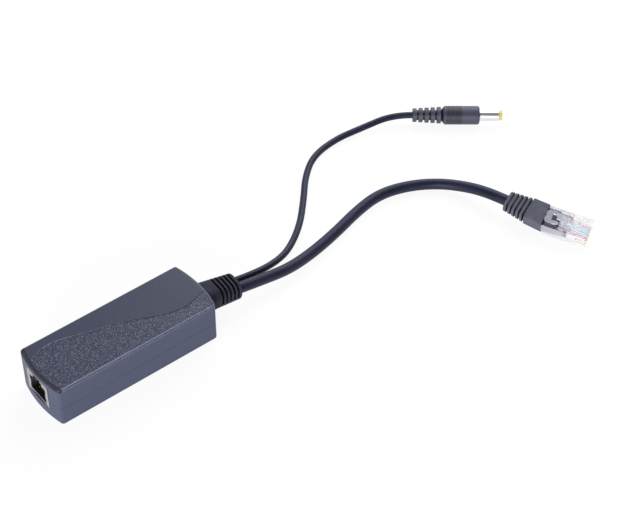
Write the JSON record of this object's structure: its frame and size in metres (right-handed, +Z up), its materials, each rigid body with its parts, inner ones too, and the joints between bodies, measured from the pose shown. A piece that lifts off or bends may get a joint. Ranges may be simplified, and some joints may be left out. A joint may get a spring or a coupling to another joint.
{
  "type": "power-over-ethernet splitter",
  "caption": "Moulded power-over-Ethernet splitter with a network jack at one end and two leads at the other: a modular network plug and a round DC barrel plug.",
  "frame": {"origin": "middle of the housing's underside, on the surface that it stands on", "axes": "+X along the housing from the jack to the leads, +Z up out of the housing's top"},
  "size_m": [0.2804, 0.1317, 0.022],
  "materials": {
    "housing_plastic": "moulded, fine spark-eroded grain beside the S line, smooth elsewhere",
    "relief_pvc": "satin soft PVC",
    "jacket_pvc": "satin cable jacket",
    "tinned_steel": "bright tinned sheet",
    "gold_plating": "gold-plated spring contacts",
    "insulator_plastic": "moulded, black",
    "clear_polycarbonate": "clear moulding",
    "wire_insulation": "pair-coded insulation",
    "nickel_plating": "nickel-plated turned brass",
    "tip_plastic": "yellow moulding",
    "board_laminate": "solder-masked glass laminate",
    "component_epoxy": "moulded epoxy",
    "ferrite": "sintered ferrite",
    "bobbin_plastic": "moulded phenolic",
    "winding_tape": "polyester tape over copper",
    "can_aluminium": "aluminium can in a printed-free sleeve",
    "disc_lacquer": "lacquered ceramic disc",
    "chip_ceramic": "ceramic chips"
  },
  "bodies": {
    "root": {"upper_shell": "housing_plastic", "lower_shell": "housing_plastic", "jack_shield": "tinned_steel", "jack_insulator": "insulator_plastic", "jack_contacts": "gold_plating", "strain_relief": "relief_pvc", "network_cord_tail": "jacket_pvc", "dc_cord_tail": "jacket_pvc", "network_cord": "jacket_pvc", "dc_cord": "jacket_pvc", "plug_boot": "relief_pvc", "network_cord_plug_end": "jacket_pvc", "plug_body": "clear_polycarbonate", "plug_blades": "gold_plating", "plug_wires": "wire_insulation", "dc_cord_plug_end": "jacket_pvc", "dc_plug_grip": "relief_pvc", "dc_barrel": "nickel_plating", "dc_tip_insulator": "tip_plastic", "dc_contact_sleeve": "nickel_plating", "circuit_board": "board_laminate", "lan_transformer": "component_epoxy", "bridge_rectifiers": "component_epoxy", "controller_chip": "component_epoxy", "optocoupler": "component_epoxy", "output_diode": "component_epoxy", "input_capacitor": "can_aluminium", "output_capacitor": "can_aluminium", "safety_capacitor": "disc_lacquer", "output_inductor": "ferrite", "flyback_core": "ferrite", "flyback_bobbin": "bobbin_plastic", "flyback_winding": "winding_tape", "chip_passives": "chip_ceramic", "network_wires": "wire_insulation", "dc_wires": "wire_insulation"}
  },
  "joints": []
}
